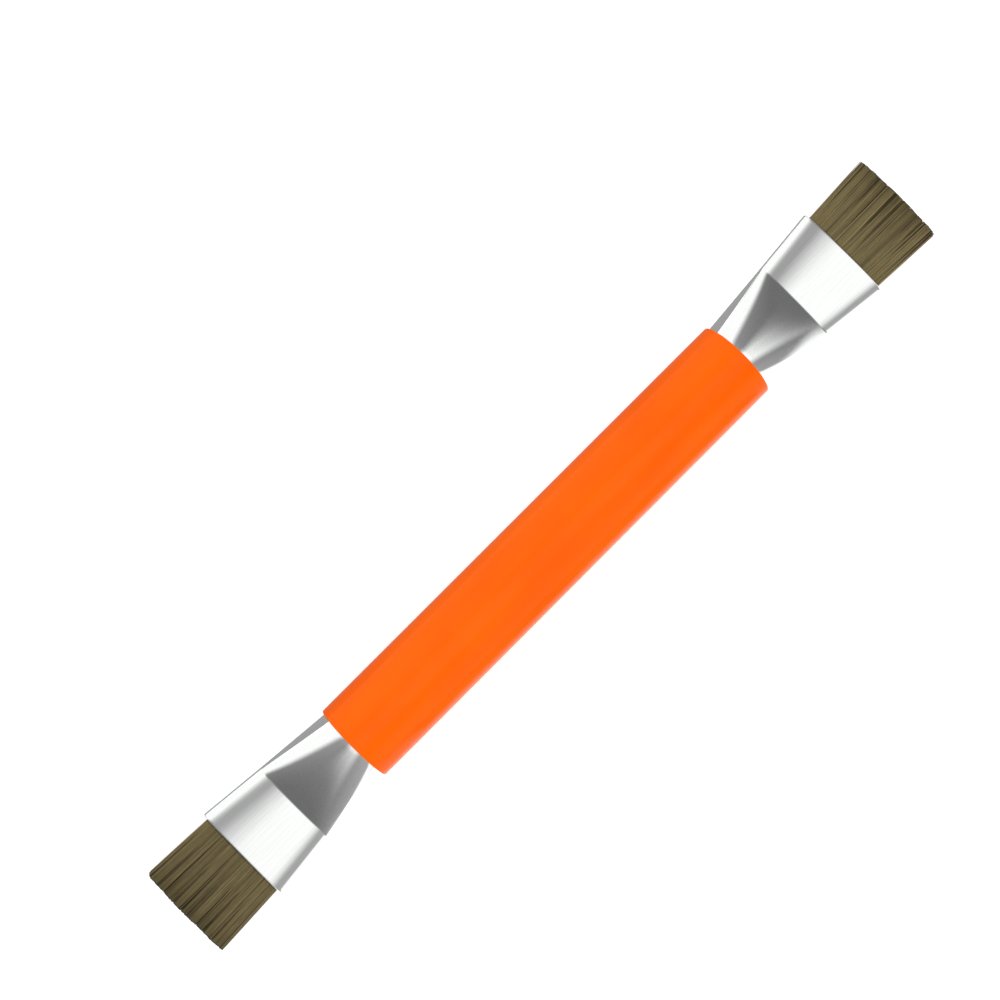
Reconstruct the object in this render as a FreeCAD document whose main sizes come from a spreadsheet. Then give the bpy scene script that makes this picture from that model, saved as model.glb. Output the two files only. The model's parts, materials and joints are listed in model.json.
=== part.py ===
"""Double-ended lens cleaning brush: a pen-sized tool with a flat brush at each end.

A round core rod has a turned tenon at each end. A pressed aluminium ferrule sits on each tenon, held by
two crimped rings, and a thin coloured sleeve covers the rod and both sockets. Each ferrule turns from
round to flat: a cone runs to a crease, and a flat lip flares from the crease to the mouth. The hairs are
tied with thread at the root, set in resin inside the cone, and stand free beyond the mouth.

Frame: the origin is the middle of the core rod's axis. +X runs along the pen to the front brush, +Y
across the flat of the brushes and +Z out of their broad side. Lengths are in millimetres.
"""

import FreeCAD
import Part
import math
import os
import sys
import Sketcher

PARTS_FOLDER = "parts"
CIRCLE = 360
SLEEVE_FACES = 6  # the sleeve's outside is six equal faces, so that a mesh of it has even facets to lie on
SMALLEST_CHANGE = 0.01  # mm3: a feature that changes its body by less has missed it

doc = FreeCAD.newDocument("LensCleaningBrush")

# --------------------------------------------------------------------------------------------------
# Driving dimensions
# --------------------------------------------------------------------------------------------------

SIZES = [
    # alias, value, what it is
    ("sleeve_length", 67.0, "coloured sleeve, end to end"),
    ("sleeve_dia", 11.0, "coloured sleeve, outside"),
    ("sleeve_bore", 10.24, "coloured sleeve, inside"),
    ("sleeve_edge", 0.15, "chamfer of the sleeve's outer edges"),
    ("shaft_dia", 10.2, "core rod between the ferrules"),
    ("tenon_dia", 9.24, "core rod inside a ferrule"),
    ("tenon_end", 32.5, "end of a tenon from the middle of the rod"),
    ("tenon_chamfer", 0.6, "lead-in at the end of a tenon"),
    ("ferrule_dia", 10.2, "ferrule's round socket, outside"),
    ("ferrule_wall", 0.45, "ferrule's sheet"),
    ("socket_depth", 9.0, "length of the ferrule under the sleeve"),
    ("cone_length", 10.2, "from the sleeve's end to the crease"),
    ("lip_length", 8.8, "from the crease to the mouth"),
    ("crease_width", 11.86, "ferrule across the flat at the crease"),
    ("crease_height", 3.3, "ferrule through the flat at the crease"),
    ("mouth_width", 13.54, "ferrule across the flat at the mouth"),
    ("mouth_height", 2.95, "ferrule through the flat at the mouth"),
    ("mouth_edge", 0.14, "rounding of the mouth's outer edge"),
    ("crimp_near", 3.0, "first crimped ring from the socket's end"),
    ("crimp_far", 6.0, "second crimped ring from the socket's end"),
    ("crimp_dia", 0.5, "section of a crimped ring, centred on the sheet's face"),
    ("crimp_play", 0.05, "room round the ring in the rod's groove"),
    ("hair_length", 10.0, "free length of the hairs"),
    ("hair_width_mouth", 12.1, "hairs across the flat at the mouth"),
    ("hair_width_tip", 13.1, "hairs across the flat at the cut tip"),
    ("hair_height_mouth", 2.0, "hairs through the flat at the mouth"),
    ("hair_height_tip", 2.5, "hairs through the flat at the cut tip"),
    ("hair_height_crease", 2.2, "hairs through the flat inside the crease"),
    ("hair_width_crease", 10.7, "hairs across the flat inside the crease"),
    ("tied_dia", 5.0, "tied root of the hairs"),
    ("tied_start", 2.5, "root's end from the sleeve's end"),
    ("tied_length", 3.5, "round length of the tied root"),
    ("flex_offset", 1.2, "centre of the hairs' bend from the mouth"),
    ("flex_play", 0.08, "room round the bending hairs' rolled end"),
    ("flex_step", 0.65, "gap along the pen between the centre of the bend and the held hairs"),
    ("flex_roll_width", 11.2, "width of the bending hairs' rolled end"),
    ("thread_dia", 0.35, "binding thread"),
    ("thread_pitch", 0.33, "turn to turn along the pen"),
    ("thread_start", 1.3, "first turn from the root's end"),
    ("thread_play", 0.01, "room between the thread and the hairs"),
    ("resin_back", 1.6, "resin's back face from the sleeve's end"),
    ("resin_front", 7.0, "resin's front face from the sleeve's end"),
    ("resin_play", 0.02, "room between the resin and the ferrule"),
]
THREAD_TURNS = 3

sheet = doc.addObject("Spreadsheet::Sheet", "Sizes")
for row, (alias, value, meaning) in enumerate(SIZES, start=1):
    sheet.set(f"A{row}", meaning)
    sheet.set(f"B{row}", str(value))
    sheet.setAlias(f"B{row}", alias)
doc.recompute()

# Places along the pen, from the middle of the rod to the front, as expressions over the sheet
SLEEVE_END = "Sizes.sleeve_length / 2"
SOCKET_END = f"({SLEEVE_END} - Sizes.socket_depth)"
CREASE = f"({SLEEVE_END} + Sizes.cone_length)"
MOUTH = f"({CREASE} + Sizes.lip_length)"
TIP = f"({MOUTH} + Sizes.hair_length)"
FLEX_AXIS = f"({MOUTH} + Sizes.flex_offset)"
ROOT_END = f"({SLEEVE_END} + Sizes.tied_start)"
TIE_END = f"({ROOT_END} + Sizes.tied_length)"

# --------------------------------------------------------------------------------------------------
# Sketch helpers
# --------------------------------------------------------------------------------------------------


def origin_feature(body, role):
    """The plane or axis of a body's own origin that has this role."""
    return next(f for f in body.Origin.OriginFeatures if f.Role == role)


def sketch_on(body, name, role, offset=None):
    """An empty sketch on one of the body's origin planes, moved along the plane's normal by offset."""
    sketch = body.newObject("Sketcher::SketchObject", name)
    sketch.AttachmentSupport = [(origin_feature(body, role), "")]
    sketch.MapMode = "FlatFace"
    if offset is not None:
        sketch.setExpression("AttachmentOffset.Base.z", offset)
    return sketch


def name_and_bind(sketch, constraint, name, expression):
    """Names a constraint of a sketch and binds it to an expression."""
    sketch.renameConstraint(constraint, name)
    sketch.setExpression(f"Constraints.{name}", expression)


def add_circle(sketch, name, diameter, centre=None):
    """A circle bound to a diameter, on the sketch's origin or at centre, a pair of expressions."""
    circle = sketch.addGeometry(Part.Circle(FreeCAD.Vector(1, 1, 0), FreeCAD.Vector(0, 0, 1), 1))
    bound = sketch.addConstraint(Sketcher.Constraint("Diameter", circle, 2))
    name_and_bind(sketch, bound, name, diameter)
    if centre is None:
        sketch.addConstraint(Sketcher.Constraint("Coincident", circle, 3, -1, 1))
        return
    for kind, axis, distance in (("DistanceX", "across", centre[0]), ("DistanceY", "up", centre[1])):
        bound = sketch.addConstraint(Sketcher.Constraint(kind, -1, 1, circle, 3, 1))
        name_and_bind(sketch, bound, f"{name}_{axis}", distance)


def add_circle_of_arcs(sketch, name, diameter, count):
    """A circle on the sketch's origin made of equal arcs, bound to a diameter. The first arc starts on +X."""
    step = 2 * math.pi / count
    circle = Part.Circle(FreeCAD.Vector(0, 0, 0), FreeCAD.Vector(0, 0, 1), 5)
    arcs = [sketch.addGeometry(Part.ArcOfCircle(circle, i * step, (i + 1) * step)) for i in range(count)]
    for arc in arcs:
        sketch.addConstraint(Sketcher.Constraint("Coincident", arc, 3, -1, 1))
    for arc, following in zip(arcs, arcs[1:]):
        sketch.addConstraint(Sketcher.Constraint("Coincident", arc, 2, following, 1))
        sketch.addConstraint(Sketcher.Constraint("Angle", arc, step))
    sketch.addConstraint(Sketcher.Constraint("PointOnObject", arcs[0], 1, -1))
    sketch.addConstraint(Sketcher.Constraint("PointOnObject", arcs[-1], 2, -1))
    bound = sketch.addConstraint(Sketcher.Constraint("Diameter", arcs[0], 10))
    name_and_bind(sketch, bound, name, diameter)


def add_ellipse(sketch, width, height):
    """An ellipse on the sketch's origin, bound to a width and a smaller height."""
    ellipse = Part.Ellipse(FreeCAD.Vector(6, 0, 0), FreeCAD.Vector(0, 1, 0), FreeCAD.Vector(0, 0, 0))
    index = sketch.addGeometry(ellipse)
    sketch.exposeInternalGeometry(index)
    major, minor = index + 1, index + 2
    sketch.addConstraint(Sketcher.Constraint("Coincident", index, 3, -1, 1))
    sketch.addConstraint(Sketcher.Constraint("Horizontal", major))
    for line, size, name, expression in ((major, 12, "width", width), (minor, 2, "height", height)):
        bound = sketch.addConstraint(Sketcher.Constraint("Distance", line, size))
        name_and_bind(sketch, bound, name, expression)


def cross_section(body, name, offset, width, height=None):
    """A circle, or with a height an ellipse, square to the pen's axis at offset along it."""
    sketch = sketch_on(body, name, "YZ_Plane", offset)
    if height is None:
        add_circle(sketch, "width", width)
    else:
        add_ellipse(sketch, width, height)
    return sketch


# --------------------------------------------------------------------------------------------------
# Feature helpers
# --------------------------------------------------------------------------------------------------


def new_body(label):
    """An empty body whose label names its file."""
    body = doc.addObject("PartDesign::Body", label)
    body.Label = label
    return body


def check_change(body, feature, before, adds):
    """Stops the macro when a feature adds or removes nothing."""
    doc.recompute()
    change = feature.Shape.Volume - before
    if (change if adds else -change) < SMALLEST_CHANGE:
        sys.exit(f"{body.Label}: {feature.Name} changed the volume by {change:.4f} mm3")
    return feature


def volume_so_far(body):
    """The body's volume before the next feature."""
    doc.recompute()
    return body.Tip.Shape.Volume if body.Tip and not body.Tip.Shape.isNull() else 0.0


def pad(body, name, sketch, length, symmetric=False):
    """A pad of a sketch along its normal."""
    before = volume_so_far(body)
    feature = body.newObject("PartDesign::Pad", name)
    feature.Profile = sketch
    feature.SideType = "Symmetric" if symmetric else "One side"
    feature.setExpression("Length", length)
    return check_change(body, feature, before, adds=True)


def pocket_through(body, name, sketch):
    """A pocket of a sketch through the whole body, both ways."""
    before = volume_so_far(body)
    feature = body.newObject("PartDesign::Pocket", name)
    feature.Profile = sketch
    feature.SideType = "Symmetric"
    feature.Type = "ThroughAll"
    return check_change(body, feature, before, adds=False)


def loft(body, name, sections, adds=True):
    """A ruled loft through sketches, added to the body or cut from it."""
    before = volume_so_far(body)
    kind = "PartDesign::AdditiveLoft" if adds else "PartDesign::SubtractiveLoft"
    feature = body.newObject(kind, name)
    feature.Profile = sections[0]
    feature.Sections = sections[1:]
    feature.Ruled = True
    return check_change(body, feature, before, adds)


def ring(body, name, sketch, adds):
    """A sketch of circles turned about the pen's axis, added to the body or cut from it."""
    before = volume_so_far(body)
    feature = body.newObject("PartDesign::Revolution" if adds else "PartDesign::Groove", name)
    feature.Profile = sketch
    feature.ReferenceAxis = (origin_feature(body, "X_Axis"), [""])
    feature.Angle = CIRCLE
    return check_change(body, feature, before, adds)


def edges_at(feature, place, least_radius):
    """Names of the edges that lie in the plane at place along the pen, further than this from its axis."""
    found = []
    for number, edge in enumerate(feature.Shape.Edges, start=1):
        box, start = edge.BoundBox, edge.Vertexes[0].Point
        flat = abs(box.XMin - place) < 1e-4 and abs(box.XMax - place) < 1e-4
        if flat and math.hypot(start.y, start.z) > least_radius:
            found.append(f"Edge{number}")
    return found


def crimp_sketch(body, name, diameter, height):
    """Two circles, one for each crimped ring, on the plane through the pen's axis."""
    sketch = sketch_on(body, name, "XZ_Plane")
    for which in ("near", "far"):
        place = f"{SOCKET_END} + Sizes.crimp_{which}"
        add_circle(sketch, which, diameter, (place, height))
    return sketch


def turn_to_rear(body):
    """Places a front part at the rear, half a turn about the vertical axis."""
    body.Placement = FreeCAD.Placement(FreeCAD.Vector(), FreeCAD.Rotation(FreeCAD.Vector(0, 0, 1), 180))


# --------------------------------------------------------------------------------------------------
# Handle
# --------------------------------------------------------------------------------------------------


def make_grip_sleeve():
    """The coloured tube that covers the core rod and both sockets."""
    body = new_body("grip_sleeve")
    section = sketch_on(body, "SleeveSection", "YZ_Plane")
    add_circle_of_arcs(section, "outside", "Sizes.sleeve_dia", SLEEVE_FACES)
    add_circle(section, "bore", "Sizes.sleeve_bore")
    tube = pad(body, "SleeveTube", section, "Sizes.sleeve_length", symmetric=True)
    end, beyond_bore = sheet.sleeve_length / 2, sheet.sleeve_bore / 2 + 0.1
    before = tube.Shape.Volume
    chamfer = body.newObject("PartDesign::Chamfer", "SleeveEdges")
    chamfer.Base = (tube, edges_at(tube, end, beyond_bore) + edges_at(tube, -end, beyond_bore))
    chamfer.setExpression("Size", "Sizes.sleeve_edge")
    check_change(body, chamfer, before, adds=False)
    return body


def make_core_rod():
    """The turned rod, with a tenon and two crimp grooves at each end."""
    body = new_body("core_rod")
    tenons = cross_section(body, "TenonSection", None, "Sizes.tenon_dia")
    rod = pad(body, "Tenons", tenons, "Sizes.tenon_end * 2", symmetric=True)
    end, before = sheet.tenon_end, rod.Shape.Volume
    lead_in = body.newObject("PartDesign::Chamfer", "TenonLeadIn")
    lead_in.Base = (rod, edges_at(rod, end, 1) + edges_at(rod, -end, 1))
    lead_in.setExpression("Size", "Sizes.tenon_chamfer")
    check_change(body, lead_in, before, adds=False)
    shaft = cross_section(body, "ShaftSection", None, "Sizes.shaft_dia")
    shaft_length = f"({SOCKET_END} - Sizes.crimp_play) * 2"
    pad(body, "Shaft", shaft, shaft_length, symmetric=True)
    groove_dia = "Sizes.crimp_dia + 2 * Sizes.crimp_play"
    height = "Sizes.ferrule_dia / 2 - Sizes.ferrule_wall"
    grooves = sketch_on(body, "CrimpGrooves", "XZ_Plane")
    for end_name, sign in (("front", ""), ("rear", "-")):
        for which in ("near", "far"):
            place = f"{sign}({SOCKET_END} + Sizes.crimp_{which})"
            add_circle(grooves, f"{end_name}_{which}", groove_dia, (place, height))
    ring(body, "CrimpGrooveRings", grooves, adds=False)
    return body


# --------------------------------------------------------------------------------------------------
# One brush end, drawn at the front
# --------------------------------------------------------------------------------------------------


def inside(size):
    """The size inside the ferrule's sheet."""
    return f"(Sizes.{size} - 2 * Sizes.ferrule_wall)"


def make_ferrule(label):
    """The pressed ferrule: a round socket, a cone to the crease, and a flat lip that flares to the mouth."""
    body = new_body(label)
    socket = sketch_on(body, "SocketSection", "YZ_Plane", SOCKET_END)
    add_circle(socket, "outside", "Sizes.ferrule_dia")
    add_circle(socket, "bore", inside("ferrule_dia"))
    pad(body, "Socket", socket, "Sizes.socket_depth")
    outer = [
        cross_section(body, "OuterRound", SLEEVE_END, "Sizes.ferrule_dia"),
        cross_section(body, "OuterCrease", CREASE, "Sizes.crease_width", "Sizes.crease_height"),
        cross_section(body, "OuterMouth", MOUTH, "Sizes.mouth_width", "Sizes.mouth_height"),
    ]
    shell = loft(body, "ConeAndLip", outer)
    before = shell.Shape.Volume
    mouth_place = sheet.sleeve_length / 2 + sheet.cone_length + sheet.lip_length
    rounding = body.newObject("PartDesign::Fillet", "MouthEdge")
    rounding.Base = (shell, edges_at(shell, mouth_place, 1))
    rounding.setExpression("Radius", "Sizes.mouth_edge")
    check_change(body, rounding, before, adds=False)
    inner = [
        cross_section(body, "InnerRound", SLEEVE_END, inside("ferrule_dia")),
        cross_section(body, "InnerCrease", CREASE, inside("crease_width"), inside("crease_height")),
        cross_section(body, "InnerMouth", MOUTH, inside("mouth_width"), inside("mouth_height")),
    ]
    loft(body, "Hollow", inner, adds=False)
    beads = crimp_sketch(body, "CrimpBeads", "Sizes.crimp_dia", "Sizes.ferrule_dia / 2 - Sizes.ferrule_wall")
    ring(body, "CrimpBeadRings", beads, adds=True)
    dents = crimp_sketch(body, "CrimpDents", "Sizes.crimp_dia", "Sizes.ferrule_dia / 2")
    ring(body, "CrimpDentRings", dents, adds=False)
    return body


def root_sections(body):
    """Sections of the hairs inside the ferrule, from the tied end to the crease."""
    crease_size = ("Sizes.hair_width_crease", "Sizes.hair_height_crease")
    return [
        cross_section(body, "TiedEnd", ROOT_END, "Sizes.tied_dia"),
        cross_section(body, "TiedFront", TIE_END, "Sizes.tied_dia"),
        cross_section(body, "AtCrease", CREASE, *crease_size),
    ]


def make_bristle_root(label):
    """The held part of the hairs: tied and round inside the cone, flat at the mouth, hollowed for the bend."""
    body = new_body(label)
    mouth_size = ("Sizes.hair_width_mouth", "Sizes.hair_height_mouth")
    held_end = f"{FLEX_AXIS} - Sizes.flex_step"
    sections = root_sections(body) + [
        cross_section(body, "AtMouth", MOUTH, *mouth_size),
        cross_section(body, "AtHeldEnd", held_end, *mouth_size),
    ]
    loft(body, "HeldHairs", sections)
    seat = sketch_on(body, "FlexSeat", "XZ_Plane")
    seat_dia = "Sizes.hair_height_mouth + 2 * Sizes.flex_play"
    add_circle(seat, "seat", seat_dia, (FLEX_AXIS, "0"))
    pocket_through(body, "FlexSeatCut", seat)
    return body


def make_bristle_tuft(label):
    """The free hairs: a flat block that flares to the straight cut tip, with a rolled end to bend about."""
    body = new_body(label)
    sections = [
        cross_section(body, "AtFlex", FLEX_AXIS, "Sizes.hair_width_mouth", "Sizes.hair_height_mouth"),
        cross_section(body, "AtTip", TIP, "Sizes.hair_width_tip", "Sizes.hair_height_tip"),
    ]
    loft(body, "FreeHairs", sections)
    roll = sketch_on(body, "FlexRoll", "XZ_Plane")
    add_circle(roll, "roll", "Sizes.hair_height_mouth", (FLEX_AXIS, "0"))
    pad(body, "FlexRollPad", roll, "Sizes.flex_roll_width", symmetric=True)
    return body


def wind_thread(body, adds):
    """The turns of the binding thread round the tied root, each a ring, added or cut."""
    place = f"{ROOT_END} + Sizes.thread_start"
    height = "Sizes.tied_dia / 2 + Sizes.thread_play + Sizes.thread_dia / 2"
    turn = sketch_on(body, "ThreadTurn", "XZ_Plane")
    add_circle(turn, "thread", "Sizes.thread_dia", (place, height))
    first = ring(body, "FirstTurn", turn, adds)
    turns = body.newObject("PartDesign::LinearPattern", "ThreadTurns")
    turns.Originals = [first]
    turns.Direction = (origin_feature(body, "X_Axis"), [""])
    turns.setExpression("Length", f"Sizes.thread_pitch * {THREAD_TURNS - 1}")
    turns.Occurrences = THREAD_TURNS
    body.Tip = turns
    doc.recompute()


def make_binding_thread(label):
    """The thread wound round the hairs' root before the ferrule goes on."""
    body = new_body(label)
    wind_thread(body, adds=True)
    return body


def between_round_and_crease(size, place):
    """A size inside the cone at a place along it, less the resin's play."""
    share = f"(Sizes.{place} / Sizes.cone_length)"
    start = inside("ferrule_dia")
    return f"{start} + ({inside(size)} - {start}) * {share} - 2 * Sizes.resin_play"


def make_resin_plug(label):
    """The cast resin that locks the tied root in the cone."""
    body = new_body(label)
    ends = [
        cross_section(
            body,
            f"At_{place}",
            f"{SLEEVE_END} + Sizes.{place}",
            between_round_and_crease("crease_width", place),
            between_round_and_crease("crease_height", place),
        )
        for place in ("resin_back", "resin_front")
    ]
    loft(body, "Casting", ends)
    loft(body, "HairPocket", root_sections(body), adds=False)
    wind_thread(body, adds=False)
    return body


END_PARTS = {
    "ferrule": make_ferrule,
    "bristle_root": make_bristle_root,
    "bristle_tuft": make_bristle_tuft,
    "binding_thread": make_binding_thread,
    "resin_plug": make_resin_plug,
}

# --------------------------------------------------------------------------------------------------
# Build, check and write
# --------------------------------------------------------------------------------------------------

bodies = [make_grip_sleeve(), make_core_rod()]
for piece, make in END_PARTS.items():
    bodies.append(make(f"front_{piece}"))
    rear = make(f"rear_{piece}")
    turn_to_rear(rear)
    bodies.append(rear)
doc.recompute()

for item in doc.Objects:
    if "Invalid" in item.State or "Error" in item.State:
        sys.exit(f"{item.Label} failed: {item.State}")

os.makedirs(PARTS_FOLDER, exist_ok=True)
for body in bodies:
    shape = body.Shape
    if shape.isNull() or not shape.isValid() or not shape.Solids:
        sys.exit(f"{body.Label} has no valid solid")
    shape.exportStep(os.path.join(PARTS_FOLDER, f"{body.Label}.step"))
    box = shape.BoundBox
    print(
        f"{body.Label}: {len(shape.Solids)} solid, {shape.Volume:.1f} mm3, "
        f"X {box.XMin:.2f} to {box.XMax:.2f}, {box.YLength:.2f} x {box.ZLength:.2f}"
    )
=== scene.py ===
"""Visual model of a double-ended lens brush pen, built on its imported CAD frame.

Sizes in the classes are millimetres; meshes are made in metres, in the frame's own axes: X along the pen,
Y across the flat of its brushes, Z out of their broad side.
"""
import json
import logging
import math
import random
from dataclasses import astuple, dataclass, field, replace
from enum import Enum
from typing import Any

import bmesh
import bpy
from mathutils import Matrix, Vector

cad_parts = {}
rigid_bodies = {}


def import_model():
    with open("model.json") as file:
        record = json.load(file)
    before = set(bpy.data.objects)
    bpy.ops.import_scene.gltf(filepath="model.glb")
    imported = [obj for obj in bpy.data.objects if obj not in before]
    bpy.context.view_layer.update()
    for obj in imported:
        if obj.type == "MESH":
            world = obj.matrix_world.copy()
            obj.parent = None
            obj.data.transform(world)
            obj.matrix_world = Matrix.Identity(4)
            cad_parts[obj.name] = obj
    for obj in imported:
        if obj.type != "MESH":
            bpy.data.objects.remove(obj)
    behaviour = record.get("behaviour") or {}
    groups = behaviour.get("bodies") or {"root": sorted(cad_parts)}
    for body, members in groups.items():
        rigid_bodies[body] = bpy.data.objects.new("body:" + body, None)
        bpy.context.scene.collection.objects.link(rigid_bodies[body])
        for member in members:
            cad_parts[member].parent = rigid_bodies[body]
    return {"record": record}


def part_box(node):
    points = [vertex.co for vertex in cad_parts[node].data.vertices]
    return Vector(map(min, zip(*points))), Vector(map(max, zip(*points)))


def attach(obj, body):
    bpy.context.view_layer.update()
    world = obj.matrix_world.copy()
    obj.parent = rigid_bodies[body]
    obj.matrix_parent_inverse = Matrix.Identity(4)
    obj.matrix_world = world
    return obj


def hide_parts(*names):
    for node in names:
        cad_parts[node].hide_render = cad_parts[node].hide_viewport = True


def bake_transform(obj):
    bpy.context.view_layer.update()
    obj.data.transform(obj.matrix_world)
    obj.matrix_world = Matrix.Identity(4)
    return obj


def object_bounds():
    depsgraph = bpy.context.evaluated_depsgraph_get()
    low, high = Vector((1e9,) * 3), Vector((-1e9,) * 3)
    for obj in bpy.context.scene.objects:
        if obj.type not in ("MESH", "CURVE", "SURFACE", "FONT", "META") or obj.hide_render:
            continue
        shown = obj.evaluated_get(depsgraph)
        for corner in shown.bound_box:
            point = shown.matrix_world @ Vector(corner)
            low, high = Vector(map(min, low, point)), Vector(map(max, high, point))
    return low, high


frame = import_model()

MM = 0.001
# Sockets by number. A Map Range node takes a value at 0, where its range starts and ends at 1 and 2, and what
# comes out there at 3 and 4, which are 0 and 1 unless given. A Mix node has its colours at the numbers below.
MIX_A, MIX_B, MIX_RESULT = 6, 7, 2
COLOUR_MIX = {"data_type": "RGBA"}
TIMES_PLUS = {"operation": "MULTIPLY_ADD"}
SOFT_EDGE = {"interpolation_type": "SMOOTHSTEP"}
HAIR_AT_MOUTH = (6.05, 1.0)  # half the hairs' width and thickness where they leave the ferrule
CAD_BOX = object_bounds()
log = logging.getLogger("brush_pen")


class End(Enum):
    """The pen's two ends, by the side of the origin they lie on."""

    FRONT = 1
    REAR = -1

    def named(self, piece: str) -> str:
        """Name one of this end's pieces."""
        return f"{self.name.lower()}_{piece}"


# ---------------------------------------------------------------- colour, nodes and meshes


def linear(hex_colour: str) -> tuple[float, float, float, float]:
    """Turn an sRGB hex colour into a linear one.

    Args:
        hex_colour: Six hex digits after a hash sign.

    Returns:
        Red, green, blue and an alpha of 1.
    """
    parts = [int(hex_colour[i : i + 2], 16) / 255 for i in (1, 3, 5)]
    r, g, b = [c / 12.92 if c <= 0.04045 else ((c + 0.055) / 1.055) ** 2.4 for c in parts]
    return r, g, b, 1.0


def add_node(
    tree: bpy.types.NodeTree,
    kind: str,
    settings: dict[str, Any] | None = None,
    inputs: dict[str | int, Any] | None = None,
) -> bpy.types.Node:
    """Add one shader node, with its settings and links.

    Args:
        tree: The node tree it goes in.
        kind: Its type, without the ShaderNode at the front.
        settings: The node's own properties, by name.
        inputs: A value, or a socket to link from, for each input by name or number.

    Returns:
        The new node.
    """
    node = tree.nodes.new("ShaderNode" + kind)
    for name, value in (settings or {}).items():
        setattr(node, name, value)
    for name, value in (inputs or {}).items():
        if isinstance(value, bpy.types.NodeSocket):
            tree.links.new(value, node.inputs[name])
        else:
            node.inputs[name].default_value = value
    return node


def smooth_object(name: str, shape: bmesh.types.BMesh) -> bpy.types.Object:
    """Turn a finished bmesh into a smooth-shaded object at the origin.

    Args:
        name: The new object's name.
        shape: The bmesh, which is freed.

    Returns:
        The object, linked to the scene.
    """
    for face in shape.faces:
        face.smooth = True
    mesh = bpy.data.meshes.new(name)
    shape.to_mesh(mesh)
    shape.free()
    thing = bpy.data.objects.new(name, mesh)
    bpy.context.scene.collection.objects.link(thing)
    return thing


def dress(thing: bpy.types.Object, material: bpy.types.Material) -> None:
    """Give an object one material and no other."""
    thing.data.materials.clear()
    thing.data.materials.append(material)


# ---------------------------------------------------------------- finishes


@dataclass(frozen=True)
class Finish:
    """A finish: the shader's constants, which a subclass draws its pattern on."""

    name: str
    roughness: float
    metallic: float = 0.0
    ior: float = 1.5
    specular: float = 0.5

    def material(self) -> bpy.types.Material:
        """Make the material.

        Returns:
            The material, with its pattern drawn.
        """
        made = bpy.data.materials.new(self.name)
        made.use_nodes = True
        shader = made.node_tree.nodes["Principled BSDF"]
        shader.inputs["Roughness"].default_value = self.roughness
        shader.inputs["Metallic"].default_value = self.metallic
        shader.inputs["IOR"].default_value = self.ior
        shader.inputs["Specular IOR Level"].default_value = self.specular
        self.pattern(made.node_tree, shader)
        return made

    def pattern(self, tree: bpy.types.NodeTree, shader: bpy.types.Node) -> None:
        """Draw the finish's colour, roughness and relief; each finish has its own."""
        raise NotImplementedError

    def noises(
        self, tree: bpy.types.NodeTree, *grains: tuple[float, float, float, float]
    ) -> list[bpy.types.NodeSocket]:
        """Draw noises, each with a grain of its own size along each axis.

        Args:
            tree: The material's node tree.
            grains: For each noise its grain along X, Y and Z in millimetres, and its octaves of finer noise.

        Returns:
            The noises, in the same order, mostly between 0.3 and 0.7.
        """
        place = add_node(tree, "TexCoord").outputs["Object"]
        drawn = []
        for *sizes, detail in grains:
            scale = [1 / (size * MM) for size in sizes]
            sized = add_node(tree, "Mapping", None, {"Vector": place, "Scale": scale}).outputs[0]
            inputs = {"Vector": sized, "Scale": 1.0, "Detail": detail}
            drawn.append(add_node(tree, "TexNoise", None, inputs).outputs["Fac"])
        return drawn


@dataclass(frozen=True)
class MouldedABS(Finish):
    """Gloss ABS, dyed through and injection moulded: an even strong colour under a clean glossy skin, with
    pigment flow a few millimetres long, a faint long ripple and hairline marks that dull it a little."""

    light: str = "#FB6503"
    deep: str = "#F35D02"

    def pattern(self, tree: bpy.types.NodeTree, shader: bpy.types.Node) -> None:
        """Draw the pigment flow, the skin's ripple and the hairline marks.

        Args:
            tree: The material's node tree.
            shader: Its Principled shader.
        """
        flow, marks, ripple = self.noises(tree, (14, 4, 4, 2), (9, 0.5, 0.5, 1), (16, 3.5, 3.5, 0))
        mixed = add_node(tree, "MapRange", None, {0: flow, 1: 0.3, 2: 0.7})
        shades = {0: mixed.outputs[0], MIX_A: linear(self.deep), MIX_B: linear(self.light)}
        colour = add_node(tree, "Mix", COLOUR_MIX, shades)
        low, high = self.roughness - 0.02, self.roughness + 0.04
        rough = add_node(tree, "MapRange", None, {0: marks, 1: 0.3, 2: 0.7, 3: low, 4: high})
        bump = add_node(tree, "Bump", None, {"Height": ripple, "Strength": 0.5, "Distance": 0.02 * MM})
        tree.links.new(colour.outputs[MIX_RESULT], shader.inputs["Base Color"])
        tree.links.new(rough.outputs[0], shader.inputs["Roughness"])
        tree.links.new(bump.outputs[0], shader.inputs["Normal"])


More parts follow.
